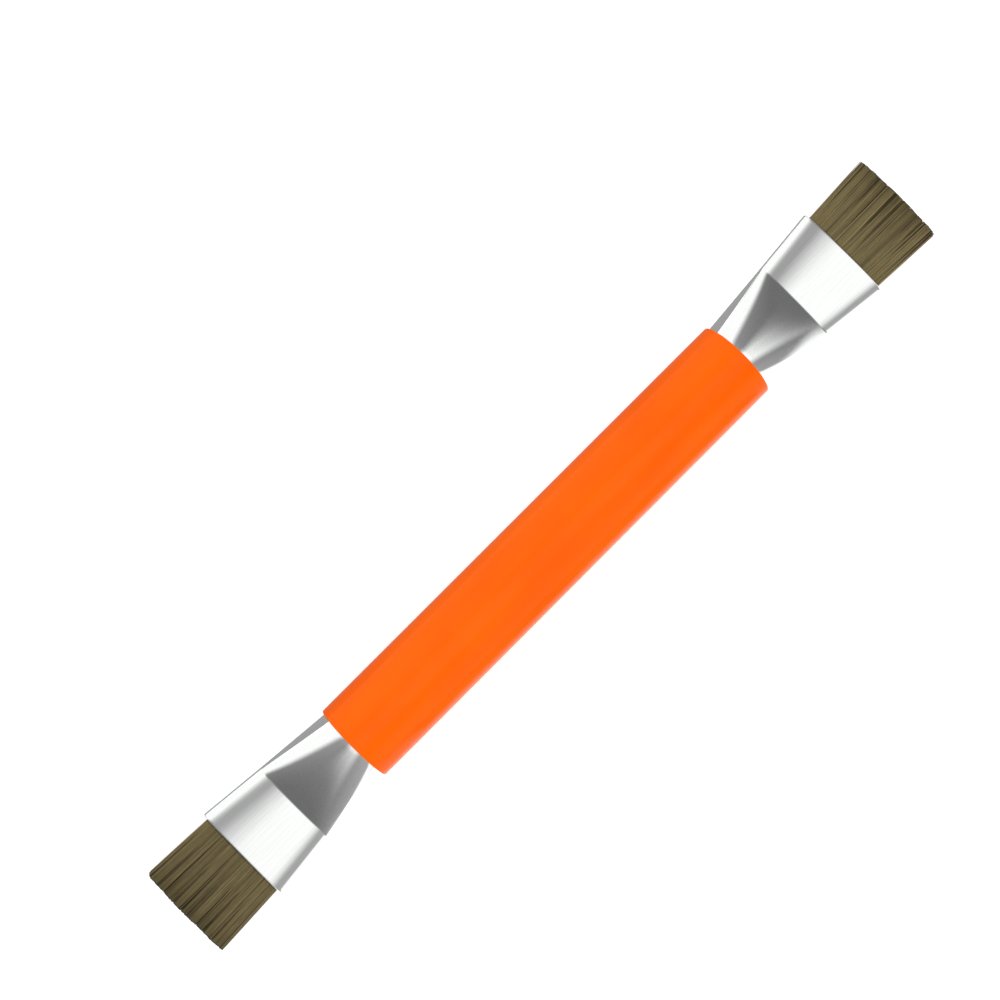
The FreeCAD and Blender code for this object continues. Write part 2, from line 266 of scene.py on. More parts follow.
@dataclass(frozen=True)
class DrawnAluminium(Finish):
    """Aluminium sheet, pressed to shape, polished and lacquered: near a mirror, with very fine lines along
    the draw that soften what it reflects across them, and a slight waviness from the press."""

    bright: str = "#F6F7F6"
    dull: str = "#ECEEEC"

    def pattern(self, tree: bpy.types.NodeTree, shader: bpy.types.Node) -> None:
        """Draw the polish lines, 0.1 mm apart and 9 mm long, in colour, roughness and relief.

        Args:
            tree: The material's node tree.
            shader: Its Principled shader.
        """
        lines, waves = self.noises(tree, (9, 0.10, 0.10, 3), (6, 3, 3, 1))
        fac = add_node(tree, "MapRange", None, {0: lines, 1: 0.3, 2: 0.7})
        shades = {0: fac.outputs[0], MIX_A: linear(self.dull), MIX_B: linear(self.bright)}
        colour = add_node(tree, "Mix", COLOUR_MIX, shades)
        relief = add_node(tree, "Math", TIMES_PLUS, {0: lines, 1: 0.02, 2: waves})
        inputs = {"Height": relief.outputs[0], "Strength": 0.5, "Distance": 0.012 * MM}
        bump = add_node(tree, "Bump", None, inputs)
        low, high = self.roughness - 0.02, self.roughness + 0.03
        rough = add_node(tree, "MapRange", None, {0: lines, 1: 0.3, 2: 0.7, 3: low, 4: high})
        tree.links.new(colour.outputs[MIX_RESULT], shader.inputs["Base Color"])
        tree.links.new(rough.outputs[0], shader.inputs["Roughness"])
        tree.links.new(bump.outputs[0], shader.inputs["Normal"])


@dataclass(frozen=True)
class DyedHair(Finish):
    """Fine dyed hair, combed straight and cut: each hair has its own shade, read from the mesh, and is
    darker at the cut, with painted shade at the mouth where the ferrule's rim shades it. A single hair is
    0.075 mm; here it is 0.1 mm, so that it shows."""

    dark: str = "#352B19"
    light: str = "#A29264"
    # dark of the cut ends, also used for the painted shade at the mouth
    cut_end_and_shade: str = "#241D12"

    def pattern(self, tree: bpy.types.NodeTree, shader: bpy.types.Node) -> None:
        """Draw each hair's shade, its change along the hair, the dark cut end and the painted shade at the
        mouth.

        Args:
            tree: The material's node tree.
            shader: Its Principled shader.
        """
        shade = add_node(tree, "Attribute", {"attribute_name": "shade"}).outputs["Fac"]
        along = add_node(tree, "Attribute", {"attribute_name": "along"}).outputs["Fac"]
        (streak,) = self.noises(tree, (1.6, 0.15, 0.15, 2))
        drift = add_node(tree, "MapRange", None, {0: streak, 1: 0.3, 2: 0.7, 3: -0.07, 4: 0.07})
        inputs = {0: shade, 1: drift.outputs[0]}
        drifted = add_node(tree, "Math", {"operation": "ADD", "use_clamp": True}, inputs)
        shades = {0: drifted.outputs[0], MIX_A: linear(self.dark), MIX_B: linear(self.light)}
        colour = add_node(tree, "Mix", COLOUR_MIX, shades)
        cut = add_node(tree, "MapRange", None, {0: along, 1: 0.975, 2: 1.0, 3: 0.0, 4: 0.7})
        # painted shade: the hairs just out of the mouth are darkened where the ferrule's rim shades them
        mouth_shade = add_node(tree, "MapRange", None, {0: along, 1: 0.005, 2: 0.03, 3: 0.7, 4: 0.0})
        dim = add_node(tree, "Math", {"operation": "ADD"}, {0: cut.outputs[0], 1: mouth_shade.outputs[0]})
        shades = {0: dim.outputs[0], MIX_A: colour.outputs[MIX_RESULT], MIX_B: linear(self.cut_end_and_shade)}
        ends = add_node(tree, "Mix", COLOUR_MIX, shades)
        tree.links.new(ends.outputs[MIX_RESULT], shader.inputs["Base Color"])


@dataclass(frozen=True)
class TurnedBeech(Finish):
    """Beech dowel, turned and left bare: pale brown, with growth lines along the rod and short dark flecks."""

    early: str = "#D9B68A"
    late: str = "#B98E60"

    def pattern(self, tree: bpy.types.NodeTree, shader: bpy.types.Node) -> None:
        """Draw the growth lines, 1.5 mm apart, and the flecks, 0.3 mm by 2 mm.

        Args:
            tree: The material's node tree.
            shader: Its Principled shader.
        """
        growth, flecks = self.noises(tree, (40, 1.5, 1.5, 2), (2, 0.3, 0.3, 1))
        rings = add_node(tree, "MapRange", None, {0: growth, 1: 0.3, 2: 0.7})
        spots = add_node(tree, "MapRange", None, {0: flecks, 1: 0.3, 2: 0.7, 3: -0.3, 4: 0.3})
        inputs = {0: rings.outputs[0], 1: spots.outputs[0]}
        fac = add_node(tree, "Math", {"operation": "ADD", "use_clamp": True}, inputs)
        shades = {0: fac.outputs[0], MIX_A: linear(self.late), MIX_B: linear(self.early)}
        colour = add_node(tree, "Mix", COLOUR_MIX, shades)
        bump = add_node(tree, "Bump", None, {"Height": flecks, "Strength": 0.3, "Distance": 0.04 * MM})
        tree.links.new(colour.outputs[MIX_RESULT], shader.inputs["Base Color"])
        tree.links.new(bump.outputs[0], shader.inputs["Normal"])


@dataclass(frozen=True)
class CastEpoxy(Finish):
    """Epoxy poured round the hairs' root: amber, glossy, cloudy with fine bubbles."""

    clear: str = "#B9812F"
    cloudy: str = "#D0A765"

    def pattern(self, tree: bpy.types.NodeTree, shader: bpy.types.Node) -> None:
        """Draw the cloudiness and the bubbles, about 0.4 mm across.

        Args:
            tree: The material's node tree.
            shader: Its Principled shader.
        """
        cloud, bubbles = self.noises(tree, (2, 2, 2, 3), (0.4, 0.4, 0.4, 0))
        fac = add_node(tree, "MapRange", None, {0: cloud, 1: 0.3, 2: 0.7})
        shades = {0: fac.outputs[0], MIX_A: linear(self.clear), MIX_B: linear(self.cloudy)}
        colour = add_node(tree, "Mix", COLOUR_MIX, shades)
        bump = add_node(tree, "Bump", None, {"Height": bubbles, "Strength": 0.4, "Distance": 0.03 * MM})
        tree.links.new(colour.outputs[MIX_RESULT], shader.inputs["Base Color"])
        tree.links.new(bump.outputs[0], shader.inputs["Normal"])


@dataclass(frozen=True)
class TwistedCotton(Finish):
    """Unbleached cotton thread, plied and waxed: off-white, with the ply's twist every 0.5 mm round it."""

    crown: str = "#E6DEC8"
    # painted shade: the twist's grooves are darker
    groove: str = "#A2977B"
    twist_gap: float = 0.5
    wave_length: float = 0.314  # of Blender's wave texture at a scale of 1, in its own units

    def pattern(self, tree: bpy.types.NodeTree, shader: bpy.types.Node) -> None:
        """Draw the ply's twist as slanting bands, with painted shade in the grooves.

        Args:
            tree: The material's node tree.
            shader: Its Principled shader.
        """
        place = add_node(tree, "TexCoord").outputs["Object"]
        turned = add_node(tree, "Mapping", None, {"Vector": place, "Rotation": (0.7, 0.7, 0.7)})
        scale = self.wave_length / (self.twist_gap * MM)
        inputs = {"Vector": turned.outputs[0], "Scale": scale, "Distortion": 0.4}
        twist = add_node(tree, "TexWave", None, inputs).outputs["Fac"]
        shades = {0: twist, MIX_A: linear(self.groove), MIX_B: linear(self.crown)}
        colour = add_node(tree, "Mix", COLOUR_MIX, shades)
        bump = add_node(tree, "Bump", None, {"Height": twist, "Strength": 0.6, "Distance": 0.05 * MM})
        tree.links.new(colour.outputs[MIX_RESULT], shader.inputs["Base Color"])
        tree.links.new(bump.outputs[0], shader.inputs["Normal"])


# ---------------------------------------------------------------- the handle


@dataclass
class GripSleeve:
    """The handle's moulded tube, with softly rounded rims."""

    half_length: float
    radius: float
    bore: float = 5.12
    rim_round: float = 0.15
    bore_round: float = 0.05
    rim_loops: tuple[float, ...] = (0.3, 1.0)
    sides: int = 60

    def build(self) -> bpy.types.Object:
        """Spin the wall's section round the pen's axis, round its rims and add loops that keep the wall flat.

        Returns:
            The sleeve.
        """
        shape = bmesh.new()
        corners = [
            shape.verts.new((x * MM, 0, r * MM))
            for x, r in (
                (-self.half_length, self.bore),
                (self.half_length, self.bore),
                (self.half_length, self.radius),
                (-self.half_length, self.radius),
            )
        ]
        edges = [shape.edges.new((corners[i - 1], corners[i])) for i in range(4)]
        bmesh.ops.spin(
            shape,
            geom=corners + edges,
            cent=(0, 0, 0),
            axis=(1, 0, 0),
            angle=math.tau,
            steps=self.sides,
            use_merge=True,
        )
        bmesh.ops.recalc_face_normals(shape, faces=shape.faces)
        self.round_rims(shape, self.radius, self.rim_round, 4)
        self.round_rims(shape, self.bore, self.bore_round, 2)
        for side in (-1, 1):
            for inset in self.rim_loops:
                bmesh.ops.bisect_plane(
                    shape,
                    geom=shape.verts[:] + shape.edges[:] + shape.faces[:],
                    plane_co=(side * (self.half_length - inset) * MM, 0, 0),
                    plane_no=(1, 0, 0),
                )
        return smooth_object("moulded_sleeve", shape)

    def round_rims(self, shape: bmesh.types.BMesh, radius: float, amount: float, steps: int) -> None:
        """Round the rims of one radius at both ends of the tube.

        Args:
            shape: The tube.
            radius: The rims' radius.
            amount: The rounding's radius.
            steps: Faces across the rounding.
        """
        rims = [
            edge
            for edge in shape.edges
            if all(
                abs(abs(v.co.x) - self.half_length * MM) < 1e-6 and abs(v.co.yz.length - radius * MM) < 1e-5
                for v in edge.verts
            )
        ]
        bmesh.ops.bevel(
            shape,
            geom=rims,
            offset=amount * MM,
            offset_type="OFFSET",
            affect="EDGES",
            segments=steps,
            profile=0.5,
            material=-1,
        )

    def fit(self, finish: Finish) -> None:
        """Build the sleeve, dress it and put it in the CAD sleeve's place.

        Args:
            finish: The sleeve's finish.
        """
        sleeve = self.build()
        dress(sleeve, finish.material())
        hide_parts("grip_sleeve")
        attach(sleeve, "handle")


# ---------------------------------------------------------------- the ferrules


@dataclass(frozen=True)
class Section:
    """An oval cross-section of the pen; a fullness of 2 is an ellipse, and more is squarer at the ends."""

    x: float
    half_width: float
    half_height: float
    fullness: float = 2.0

    def inset(self, wall: float, x: float | None = None) -> "Section":
        """The section a wall's thickness further in, at its own x or another one."""
        place = self.x if x is None else x
        return Section(place, self.half_width - wall, self.half_height - wall, self.fullness)

    def towards(self, other: "Section", share: float) -> "Section":
        """The section at a share of the way to another one."""
        return Section(*(a + (b - a) * share for a, b in zip(astuple(self), astuple(other))))

    def ring(self, shape: bmesh.types.BMesh, side: int, sides: int) -> set[bmesh.types.BMEdge]:
        """Draw the section as a ring of edges.

        Args:
            shape: The bmesh it goes in.
            side: 1 for the pen's front, -1 for its rear.
            sides: How many edges.

        Returns:
            The ring's edges.
        """
        upright = Matrix.Rotation(math.pi / 2, 4, "Y")
        verts = bmesh.ops.create_circle(shape, radius=1, segments=sides, matrix=upright)["verts"]
        for vert in verts:
            y, z = (math.copysign(abs(c) ** (2 / self.fullness), c) for c in vert.co.yz)
            vert.co = (side * self.x * MM, y * self.half_width * MM, z * self.half_height * MM)
        return {edge for vert in verts for edge in vert.link_edges}


@dataclass
class Ferrule:
    """A pressed metal ferrule: a round socket with two crimps, a cone that turns flat, a crease and a lip."""

    end: End
    mouth_x: float
    socket_x: float
    sleeve_x: float
    half_width: float
    wall: float = 0.45
    socket_radius: float = 5.1
    crimps: tuple[float, float] = (3.0, 6.0)
    crimp_radius: float = 0.25
    crease: Section = Section(43.7, 5.93, 1.65, 2.7)
    mouth_half_height: float = 1.475
    rim_round: float = 0.14
    neck_slope: float = 0.55
    sides: int = 160

    def socket(self, radius: float) -> list[Section]:
        """Sections of the round socket with its crimped grooves, from its end to the cone.

        Args:
            radius: The radius between the grooves.

        Returns:
            The sections.
        """
        dips = (0.0, 0.7, 1.0, 0.7, 0.0)
        places = [(self.socket_x, 0.0)]
        for crimp in self.crimps:
            places += [
                (self.socket_x + crimp + (i - 2) * self.crimp_radius * 0.5, dip * self.crimp_radius)
                for i, dip in enumerate(dips)
            ]
        return [Section(x, radius - dip, radius - dip) for x, dip in places]

    def cone(self) -> list[Section]:
        """Sections of the outside of the cone, which leaves the socket gently and steepens to the crease.

        Returns:
            The sections, from the socket to the crease.
        """
        neck = Section(self.sleeve_x, self.socket_radius, self.socket_radius)
        sections = []
        for share in (*(i / 16 for i in range(16)), 0.985, 1.0):
            fall = self.neck_slope * share + (1 - self.neck_slope) * share**2
            height = neck.towards(self.crease, fall).half_height
            sections.append(replace(neck.towards(self.crease, share), half_height=height))
        return sections

    def lip(self) -> list[Section]:
        """Sections of the outside of the flat lip, from the crease to the rim's rounding."""
        shares = (0.015, 0.1, 0.35, 0.65, 0.9, 0.98, 1.0)
        return [self.crease.towards(self.rim_start, share) for share in shares]

    @property
    def rim_start(self) -> Section:
        """Where the lip ends and the rim's rounding starts."""
        x = self.mouth_x - self.rim_round
        return Section(x, self.half_width, self.mouth_half_height, self.crease.fullness)

    def rim(self) -> list[Section]:
        """Sections round the mouth's rim, from the outside to the inside.

        Returns:
            The sections.
        """
        mouth = self.rim_start
        outside = [
            mouth.inset(self.rim_round * (1 - math.cos(a)), mouth.x + self.rim_round * math.sin(a))
            for a in (0.4, 0.8, 1.2, math.pi / 2)
        ]
        inner = self.rim_round * 0.6
        inside = [
            mouth.inset(self.wall - inner * (1 - math.sin(a)), self.mouth_x - inner * (1 - math.cos(a)))
            for a in (0.0, 0.8, math.pi / 2)
        ]
        return outside + inside

    def sections(self) -> list[Section]:
        """Every section of the closed shell in order: out along the outside and back along the inside.

        Returns:
            The sections.
        """
        outside = self.socket(self.socket_radius) + self.cone() + self.lip()
        inside = [section.inset(self.wall) for section in reversed(self.cone() + self.lip()[1:-2])]
        inside = sorted(inside, key=lambda section: -section.x)
        bore = list(reversed(self.socket(self.socket_radius - self.wall)))
        return outside + self.rim() + inside + bore

    def build(self) -> bpy.types.Object:
        """Bridge the sections, ring by ring, into one closed shell.

        Returns:
            The ferrule.
        """
        shape = bmesh.new()
        rings = [section.ring(shape, self.end.value, self.sides) for section in self.sections()]
        for near, far in zip(rings, rings[1:] + rings[:1]):
            bmesh.ops.bridge_loops(shape, edges=list(near | far))
        bmesh.ops.recalc_face_normals(shape, faces=shape.faces)
        return smooth_object(self.end.named("pressed_ferrule"), shape)

    def fit(self, material: bpy.types.Material) -> None:
        """Build the ferrule, dress it and put it in the CAD ferrule's place.

        Args:
            material: The ferrules' metal.
        """
        ferrule = self.build()
        dress(ferrule, material)
        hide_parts(self.end.named("ferrule"))
        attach(ferrule, "handle")


# ---------------------------------------------------------------- the hair


@dataclass(frozen=True)
class Slit:
    """A parting between two locks of hair, which opens towards the cut, with painted shadow along it.

    Its depth is a share of the tuft's half height; its pull and the width of its painted shadow line are to
    each side of it.
    """

    y: float
    face: int
    lean: float
    gap: float
    start: float
    depth: float = 0.5
    pull: float = 0.4
    line: float = 0.06
    dark_gap: float = 0.11

    def off(self, y: float, z: float) -> float:
        """How far a hair at Y, and at a height of -1 to 1 in the tuft, is beside the slit."""
        return y - self.y - self.lean * z

    def run(self, share: float) -> float:
        """How far along the slit a place is, 0 to 1, by its share of the hairs' free length."""
        return max(0.0, share - self.start) / (1 - self.start)

    def opening(self, z: float, share: float) -> float:
        """How far the slit is open, 0 to 1.

        Args:
            z: The height in the tuft, from -1 on the lower face to 1 on the upper one.
            share: How far along the hairs' free length, 0 to 1.

        Returns:
            The opening, which fades with depth below the slit's own face.
        """
        run = self.run(share)
        return run * run * (3 - 2 * run) * math.exp(-(((z - self.face) / self.depth) ** 2))

    def push(self, y: float, z: float, share: float) -> float:
        """How far a hair beside the slit moves sideways.

        Args:
            y: The hair's place across the tuft.
            z: Its height in the tuft, -1 to 1.
            share: How far along its free length, 0 to 1.

        Returns:
            The move along Y.
        """
        off = self.off(y, z)
        return math.copysign(self.gap / 2, off) * math.exp(-((off / self.pull) ** 2)) * self.opening(z, share)

    def shadow(self, y: float, z: float, share: float) -> float:
        """How much painted shadow darkens a hair for lying down in the slit.

        Args:
            y: The hair's place across the tuft.
            z: Its height in the tuft, -1 to 1.
            share: How far along its free length, 0 to 1.

        Returns:
            The painted shadow's darkening of its shade.
        """
        deep = math.exp(-((self.off(y, z) / self.line) ** 2)) * min(1.0, abs(z - self.face) * 4 + 0.6)
        return min(1.0, self.gap / self.dark_gap) * deep * min(1.0, 2.5 * self.run(share))


@dataclass
class HairTuft:
    """A flat tuft of straight-cut hair, from inside the ferrule's mouth to the cut.

    The mouth and the cut give its section there. Spreads are the standard deviations of what differs from
    lock to lock (shade, cut, lift) and from hair to hair (shade, cut, and its lean sideways or up). The shade
    also holds painted shade, darker deeper in the tuft and in the slits, and painted light that makes the
    front tuft lighter and the rear one darker.
    """

    end: End
    mouth: Section
    cut: Section
    hinge_x: float
    rounded_side: int
    corner_round: float
    # painted light: the front tuft lighter, the rear one darker
    painted_light_shift: float
    seed: int
    root_x: float = 49.0
    hair: float = 0.1
    row: float = 0.085
    column: float = 0.098
    jitter: tuple[float, float] = (0.035, 0.03)
    locks: int = 30
    lock_spreads: tuple[float, float, float] = (0.03, 0.012, 0.03)
    shade_spread: float = 0.12
    cut_spread: float = 0.03
    lean_spread: float = 0.03
    stray_share: float = 0.015
    stray_lean: float = 3.0
    middle_shade: float = 0.52
    # painted shade: hairs deeper in the tuft are darker
    buried_painted_shade: float = 0.5
    # painted shadow: how much darker the slits make the hairs that lie in them
    slit_painted_shadow: float = 0.6
    taper: float = 0.3
    soft_bend: float = 0.7
    steps: tuple[float, ...] = (0.0, 0.07, 0.14, 0.21, 0.3, 0.5, 0.75, 1.0)
    shades: list[list[float]] = field(default_factory=list)

    def grid(self, luck: random.Random) -> list[tuple[float, float]]:
        """Where each hair stands in the mouth, in staggered rows.

        Args:
            luck: The tuft's random numbers.

        Returns:
            Y and Z of each hair.
        """
        wide, high = self.mouth.half_width, self.mouth.half_height
        across, up = self.jitter
        spots = []
        rows = int(high / self.row)
        for j in range(-rows, rows + 1):
            columns = int(wide / self.column) + 1
            for i in range(-columns, columns + 1):
                y = (i + 0.5 * (j % 2)) * self.column + luck.uniform(-across, across)
                z = j * self.row + luck.uniform(-up, up)
                if (y / wide) ** 2 + (z / high) ** 2 < 1:
                    spots.append((y, z))
        return spots

    def slits(self, luck: random.Random) -> list[Slit]:
        """The partings: some open far down the tuft, most only near the cut.

        Args:
            luck: The tuft's random numbers.

        Returns:
            The slits, in order across the tuft.
        """
        wide = self.mouth.half_width
        made = []
        for i in range(2 * self.locks):
            y = wide * (2 * (i // 2 + luck.uniform(0.05, 0.95)) / self.locks - 1)
            deep = i // 2 % 3 == 1
            gap = luck.uniform(0.07, 0.13) if deep else luck.uniform(0.0, 0.03)
            start = luck.uniform(0.0, 0.5) if deep else luck.uniform(0.3, 0.8)
            made.append(Slit(y, 2 * (i % 2) - 1, luck.uniform(-0.25, 0.25), gap, start))
        return made

    def cut_back(self, y: float) -> float:
        """How far the cut stands back at a place across the tuft: slightly wavy, and rounded at one corner.

        Args:
            y: The place across the tuft, at the mouth.

        Returns:
            The distance back from the longest hair.
        """
        wave = 0.035 * math.sin(1.1 * y + self.seed) + 0.015 * math.sin(3.7 * y + 2 * self.seed)
        size = self.corner_round
        inside = self.cut.half_width * (1 - y * self.rounded_side / self.mouth.half_width)
        return 0.1 + wave + size - math.sqrt(size**2 - max(0.0, size - max(0.0, inside)) ** 2)

    def curve(self) -> bpy.types.Curve:
        """Draw every hair as one thin tapered strand of a curve.

        Returns:
            The curve, with the shade of each strand's points kept in order in shades.
        """
        luck = random.Random(self.seed)
        slits = self.slits(luck)
        lock_shade, lock_cut, lock_lift = (
            [luck.gauss(0, spread) for _ in range(2 * self.locks + 2)] for spread in self.lock_spreads
        )
        hairs = bpy.data.curves.new(self.end.named("hairs"), "CURVE")
        hairs.dimensions = "3D"
        hairs.bevel_depth = self.hair / 2 * MM
        hairs.bevel_resolution = 0
        shares = (self.root_share, *self.steps)
        for y, z in self.grid(luck):
            level = z / self.mouth.half_height
            lock = sum(slit.y + slit.lean * level < y for slit in slits if slit.face * z > 0)
            stray = self.stray_lean if luck.random() < self.stray_share else 1.0
            side = luck.gauss(0, self.lean_spread) * stray
            lift = luck.gauss(0, self.lean_spread) * stray + lock_lift[lock]
            short = self.cut_back(y) + lock_cut[lock] + abs(luck.gauss(0, self.cut_spread))
            # painted shade: the deeper a hair lies in the tuft, the darker it is
            buried = 1 - math.hypot(y / self.mouth.half_width, level)
            # the end's painted light lightens the front tuft and darkens the rear one
            shade = self.middle_shade + self.painted_light_shift - self.buried_painted_shade * buried
            shade += lock_shade[lock] + luck.gauss(0, self.shade_spread)
            # painted shadow in the slits, ring by ring along each hair
            shadows = [max(slit.shadow(y, level, max(share, 0.0)) for slit in slits) for share in shares]
            self.shades.append([min(1.0, max(0.0, shade - self.slit_painted_shadow * dark)) for dark in shadows])
            strand = hairs.splines.new("POLY")
            strand.points.add(len(shares) - 1)
            for point, share in zip(strand.points, shares):
                free = max(share, 0.0)
                at = self.mouth.towards(self.cut, free)
                pushed = sum(slit.push(y, level, free) for slit in slits)
                point.co = (
                    self.end.value * (self.mouth.towards(self.cut, share).x - max(short, 0.0) * free) * MM,
                    (y * at.half_width / self.mouth.half_width + pushed + side * free**2) * MM,
                    (z * at.half_height / self.mouth.half_height + lift * free**2) * MM,
                    1,
                )
                point.radius = 1.0 - self.taper * max(0.0, free - 0.5)
        return hairs

    @property
    def root_share(self) -> float:
        """Where the hairs start, inside the mouth, as a share of their free length."""
        return (self.root_x - self.mouth.x) / (self.cut.x - self.mouth.x)

    def build(self) -> bpy.types.Object:
        """Turn the strands into one mesh and store each hair's shade and the way along it.

        Returns:
            The tuft.
        """
        drawn = bpy.data.objects.new(self.end.named("hairs"), self.curve())
        mesh = bpy.data.meshes.new_from_object(drawn)
        bpy.data.objects.remove(drawn)
        mesh.name = self.end.named("hair_tuft")
        per_hair = len(mesh.vertices) // len(self.shades)
        rings = [0.0, *self.steps]
        per_ring = per_hair // len(rings)
        one_hair = [share for share in rings for _ in range(per_ring)]
        shade = mesh.attributes.new("shade", "FLOAT", "POINT")
        values = [value for hair in self.shades for value in hair for _ in range(per_ring)]
        shade.data.foreach_set("value", values)
        along = mesh.attributes.new("along", "FLOAT", "POINT")
        along.data.foreach_set("value", one_hair * len(self.shades))
        shape = bmesh.new()
        shape.from_mesh(mesh)
        open_ends = [edge for edge in shape.edges if edge.is_boundary]
        bmesh.ops.holes_fill(shape, edges=open_ends, sides=4)
        bmesh.ops.recalc_face_normals(shape, faces=shape.faces)
        for face in shape.faces:
            face.smooth = True
        shape.to_mesh(mesh)
        shape.free()
        tuft = bpy.data.objects.new(self.end.named("hair_tuft"), mesh)
        bpy.context.scene.collection.objects.link(tuft)
        log.info("%s: %d hairs, %d vertices each", tuft.name, len(self.shades), per_hair)
        return tuft

    def fit(self, material: bpy.types.Material) -> None:
        """Build the tuft, dress it, hide the CAD tuft and root, and fix its place in its mesh.

        Args:
            material: The hair.
        """
        tuft = self.build()
        dress(tuft, material)
        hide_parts(self.end.named("bristle_tuft"), self.end.named("bristle_root"))
        self.end.named("bristles")
        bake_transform(tuft)


# ---------------------------------------------------------------- the inside


@dataclass
class HiddenParts:
    """The rod, threads and resin inside the pen, which keep their CAD shape."""

    rod: Finish
    thread: Finish
    resin: Finish

    def fit(self) -> None:
        """Dress the CAD nodes."""
        dress(bpy.data.objects["core_rod"], self.rod.material())
        thread, resin = self.thread.material(), self.resin.material()
        for end in End:
            dress(bpy.data.objects[end.named("binding_thread")], thread)
            dress(bpy.data.objects[end.named("resin_plug")], resin)


# ---------------------------------------------------------------- the studio


@dataclass(frozen=True)
class FloorSheet:
    """A flat glowing sheet of the studio's floor, clear from below. Some kinds of ray may pass it by."""

    name: str
    material: str
    glow: float
    colour: str = "#000000"
    roughness: float = 0.5
    specular: float = 0.0
    unseen_by: tuple[str, ...] = ()

    def lay(self, shape: bmesh.types.BMesh) -> None:
        """Make the sheet from its shape and put it on the stage.

        Args:
            shape: The sheet's flat mesh, which is freed.
        """
        sheet = smooth_object(self.name, shape)
        made = bpy.data.materials.new(self.material)
        made.cycles.emission_sampling = "NONE"
        made.use_nodes = True
        tree = made.node_tree
        shader = tree.nodes["Principled BSDF"]
        shader.inputs["Base Color"].default_value = linear(self.colour)
        shader.inputs["Roughness"].default_value = self.roughness
        shader.inputs["Specular IOR Level"].default_value = self.specular
        shader.inputs["Emission Color"].default_value = (1, 1, 1, 1)
        shader.inputs["Emission Strength"].default_value = self.glow
        below = add_node(tree, "NewGeometry").outputs["Backfacing"]
        clear = add_node(tree, "BsdfTransparent").outputs[0]
        either = add_node(tree, "MixShader", None, {0: below, 1: shader.outputs[0], 2: clear})
        tree.links.new(either.outputs[0], tree.nodes["Material Output"].inputs["Surface"])
        dress(sheet, made)
        for ray in self.unseen_by:
            setattr(sheet, f"visible_{ray}", False)


@dataclass(frozen=True)
class FlagPanel:
    """A panel of a flag, corner to corner in metres; spread is its start's length over its end's."""

    x0: float
    y0: float
    x1: float
    y1: float
    spread: float = 1.0


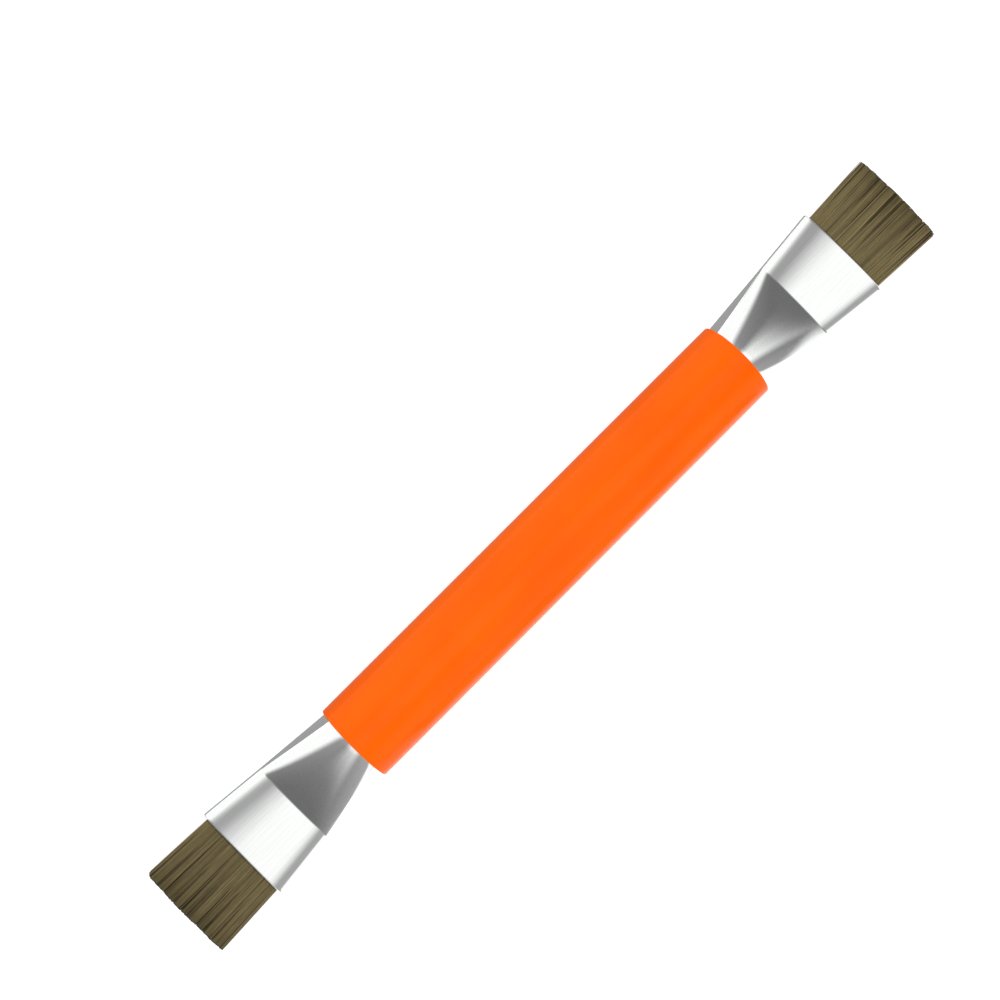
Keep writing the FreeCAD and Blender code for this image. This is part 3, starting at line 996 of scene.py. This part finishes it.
@dataclass
class Studio:
    """A lit white table in a white room, under a soft overhead panel set in a grey ceiling."""

    floor_z: float
    white: float = 1.12
    table_half: float = 1.5
    table_glow: float = 0.38
    # glows of the flags' painted shadow and painted dark reflection
    grey_tone: float = 0.38
    dark_tone: float = 0.12
    flag_lift: float = 0.0003
    lamp_power: float = 3.2
    lamp_size: float = 0.9
    lamp_place: tuple[float, float, float] = (0, 0.07, 0.7)
    camera_place: tuple[float, float, float] = (-12.30, 3.56, 225.2)
    camera_ahead: tuple[float, float, float] = (0.05568, 0.02154, -0.99822)
    camera_right: tuple[float, float, float] = (0.7069, -0.7069, 0.0242)
    lens: float = 65.67

    def room(self) -> None:
        """Light the room: white walls, a grey ceiling and the soft panel, faded on one side.

        Tilt is a ray's angle from straight up, across the pen, and reach is how far it goes along the pen.
        """
        world = bpy.data.worlds.new("white_room")
        world.use_nodes = True
        bpy.context.scene.world = world
        tree = world.node_tree
        way = add_node(tree, "SeparateXYZ", None, {0: add_node(tree, "TexCoord").outputs["Generated"]})
        x, y, z = way.outputs
        tilt = add_node(tree, "Math", {"operation": "ARCTAN2"}, {0: y, 1: z}).outputs[0]
        reach = add_node(tree, "Math", {"operation": "ABSOLUTE"}, {0: x}).outputs[0]
        off_middle = add_node(tree, "Math", {"operation": "SUBTRACT"}, {0: x, 1: 0.05}).outputs[0]
        off_middle = add_node(tree, "Math", {"operation": "ABSOLUTE"}, {0: off_middle}).outputs[0]
        rear = add_node(tree, "MapRange", None, {0: x, 1: 0.1, 2: -0.1}).outputs[0]

        # The tilt, leaned by the reach: each edge below runs along one of these.
        drawn_in = add_node(tree, "Math", TIMES_PLUS, {0: reach, 1: 0.25, 2: tilt}).outputs[0]
        upper = add_node(tree, "Math", TIMES_PLUS, {0: rear, 1: 0.045, 2: drawn_in}).outputs[0]
        lower = add_node(tree, "Math", TIMES_PLUS, {0: rear, 1: -0.06, 2: drawn_in}).outputs[0]
        far = add_node(tree, "Math", TIMES_PLUS, {0: reach, 1: -0.73, 2: tilt}).outputs[0]
        near = add_node(tree, "Math", TIMES_PLUS, {0: reach, 1: -1.7, 2: tilt}).outputs[0]
        close = add_node(tree, "Math", TIMES_PLUS, {0: off_middle, 1: 4.0, 2: tilt}).outputs[0]

        # The panel, which falls off towards its upper edge and is faded at its lower edge and at both ends.
        fall = add_node(tree, "MapRange", None, {0: upper, 1: 0.36, 2: 0.08}).outputs[0]
        panel = add_node(tree, "Math", {"operation": "POWER"}, {0: fall, 1: 1.35}).outputs[0]
        for value, dark, lit in ((lower, -0.68, -0.28), (x, 0.91, 0.44), (x, -0.72, -0.16)):
            edge = add_node(tree, "MapRange", SOFT_EDGE, {0: value, 1: dark, 2: lit})
            inputs = {0: panel, 1: edge.outputs[0]}
            panel = add_node(tree, "Math", {"operation": "MULTIPLY"}, inputs).outputs[0]

        # The white walls: beyond the pen, on the camera's side of it, and a strip close to its middle.
        bright = panel
        for value, dark, lit in ((far, 0.23, 0.63), (near, -1.94, -2.14), (close, -0.38, -0.58)):
            edge = add_node(tree, "MapRange", SOFT_EDGE, {0: value, 1: dark, 2: lit})
            inputs = {0: bright, 1: edge.outputs[0]}
            bright = add_node(tree, "Math", {"operation": "MAXIMUM"}, inputs).outputs[0]

        # The ceiling darkens along the pen. The camera itself sees plain white.
        ceiling = add_node(tree, "MapRange", None, {0: reach, 1: 0.2, 2: 0.82, 3: 0.37, 4: 0.15}).outputs[0]
        shade = add_node(tree, "Mix", {"data_type": "FLOAT"}, {0: bright, 2: ceiling, 3: 1.0}).outputs[0]
        seen = add_node(tree, "LightPath").outputs["Is Camera Ray"]
        plain = add_node(tree, "Mix", {"data_type": "FLOAT"}, {0: seen, 2: shade, 3: 1.0}).outputs[0]
        strength = add_node(tree, "Math", {"operation": "MULTIPLY"}, {0: plain, 1: self.white}).outputs[0]
        background = tree.nodes["Background"]
        tree.links.new(strength, background.inputs["Strength"])
        background.inputs["Color"].default_value = (1, 1, 1, 1)

    def table(self) -> None:
        """Lay the lit white table that the pen rests on: opal acrylic sheet, matt and glowing from within."""
        shape = bmesh.new()
        bmesh.ops.create_grid(shape, x_segments=8, y_segments=8, size=self.table_half)
        bmesh.ops.translate(shape, verts=shape.verts, vec=(0, 0, self.floor_z))
        FloorSheet("studio_table", "opal_acrylic_sheet", self.table_glow, "#F8F8F7", 0.8, 0.1).lay(shape)

    def flag(self, name: str, tone: float, panels: list[FlagPanel], unseen_by: tuple[str, ...]) -> None:
        """Lay a glowing flag on the table beside the pen, which the camera doesn't see: it is painted
        reflection in gloss and metal, and painted shade where diffuse rays see it.

        Args:
            name: The flag's name.
            tone: How bright it looks.
            panels: Its panels.
            unseen_by: The kinds of ray that pass it by.
        """
        shape = bmesh.new()
        for panel in panels:
            verts = bmesh.ops.create_grid(shape, x_segments=1, y_segments=1, size=0.5)["verts"]
            start = [vert for vert in verts if vert.co.y < 0]
            bmesh.ops.scale(shape, verts=start, vec=(panel.spread, 1, 1))
            bmesh.ops.scale(shape, verts=verts, vec=(panel.x1 - panel.x0, panel.y1 - panel.y0, 1))
            middle = ((panel.x0 + panel.x1) / 2, (panel.y0 + panel.y1) / 2, self.floor_z + self.flag_lift)
            bmesh.ops.translate(shape, verts=verts, vec=middle)
        FloorSheet(name, f"{name}_felt", tone, unseen_by=unseen_by).lay(shape)

    def flags(self) -> None:
        """Lay a grey flag on one side of the pen, longer at its ends, and a dark one on the other. The grey
        one is a painted reflection of the pen's shadow on the table and paints shade on the handle's side next
        to it; the dark one is a painted dark reflection, seen only in gloss and metal.
        """
        unseen_by = ("camera", "shadow", "transmission", "volume_scatter")
        grey = [
            FlagPanel(-0.06, 0.007, 0.06, 0.041),
            FlagPanel(0.06, 0.007, 0.2, 0.12),
            FlagPanel(-0.2, 0.007, -0.06, 0.12),
        ]
        dark = [FlagPanel(-0.027, -0.25, 0.035, -0.018, 2.2)]
        self.flag("grey_flag", self.grey_tone, grey, unseen_by)
        self.flag("dark_flag", self.dark_tone, dark, (*unseen_by, "diffuse"))

    def lights(self) -> None:
        """Hang a large soft light overhead, which the metal doesn't mirror."""
        lamp = bpy.data.lights.new("overhead_soft_light", "AREA")
        lamp.shape = "DISK"
        lamp.size = self.lamp_size
        lamp.energy = self.lamp_power
        hung = bpy.data.objects.new("overhead_soft_light", lamp)
        hung.location = self.lamp_place
        hung.visible_glossy = False
        hung.visible_camera = False
        bpy.context.scene.collection.objects.link(hung)

    def camera(self) -> None:
        """Stand the camera nearly straight above the pen, turned so that the pen lies on the diagonal."""
        lens = bpy.data.cameras.new("camera")
        lens.lens = self.lens
        lens.clip_start, lens.clip_end = 0.01, 10
        camera = bpy.data.objects.new("camera", lens)
        ahead, right = Vector(self.camera_ahead).normalized(), Vector(self.camera_right)
        up = right.cross(ahead).normalized()
        right = ahead.cross(up)
        turn = Matrix((right, up, -ahead)).transposed().to_4x4()
        camera.matrix_world = Matrix.Translation(Vector(self.camera_place) * MM) @ turn
        bpy.context.scene.collection.objects.link(camera)
        bpy.context.scene.camera = camera

    def build(self) -> None:
        """Set up the whole studio."""
        self.room()
        self.table()
        self.flags()
        self.lights()
        self.camera()
        bpy.context.scene.view_settings.view_transform = "Standard"


def main() -> None:
    """Build the pen, piece by piece, and the studio round it."""
    logging.basicConfig(level=logging.INFO, format="%(message)s")
    hinges = {joint["name"]: abs(joint["pos_m"][0]) / MM for joint in frame["record"]["behaviour"]["joints"]}

    _, sleeve_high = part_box("grip_sleeve")
    GripSleeve(half_length=sleeve_high[0] / MM, radius=sleeve_high[2] / MM).fit(
        MouldedABS("moulded_gloss_abs", roughness=0.12, ior=1.53, specular=0.07)
    )
    log.info("sleeve: %.1f mm long", 2 * sleeve_high[0] / MM)

    aluminium = DrawnAluminium("polished_drawn_aluminium", roughness=0.07, metallic=1.0).material()
    hair = DyedHair("dyed_brush_hair", roughness=0.5, ior=1.55, specular=0.3).material()
    for end in End:
        ferrule_low, ferrule_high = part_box(end.named("ferrule"))
        near, far = sorted((abs(ferrule_low[0]), abs(ferrule_high[0])))
        ferrule = Ferrule(
            end,
            mouth_x=far / MM,
            socket_x=near / MM,
            sleeve_x=sleeve_high[0] / MM,
            half_width=ferrule_high[1] / MM,
        )
        ferrule.fit(aluminium)
        log.info("%s ferrule: %.1f to %.1f mm", end.name.lower(), near / MM, far / MM)

        tuft_low, tuft_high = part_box(end.named("bristle_tuft"))
        cut_x = max(abs(tuft_low[0]), abs(tuft_high[0])) / MM
        HairTuft(
            end,
            mouth=Section(far / MM, *HAIR_AT_MOUTH),
            cut=Section(cut_x, tuft_high[1] / MM, tuft_high[2] / MM),
            hinge_x=hinges[end.named("bristle_flex")],
            rounded_side=-end.value,
            corner_round=0.45 if end is End.FRONT else 0.8,
            # painted light: the front tuft's hair lighter, the rear's darker
            painted_light_shift=0.05 * end.value,
            seed=11 if end is End.FRONT else 23,
        ).fit(hair)

    HiddenParts(
        rod=TurnedBeech("turned_beech", roughness=0.65),
        thread=TwistedCotton("twisted_cotton", roughness=0.9),
        resin=CastEpoxy("cast_epoxy", roughness=0.2, ior=1.55),
    ).fit()
    log.info("rod, threads and resin dressed")

    Studio(floor_z=CAD_BOX[0][2]).build()


if __name__ == "__main__":
    main()
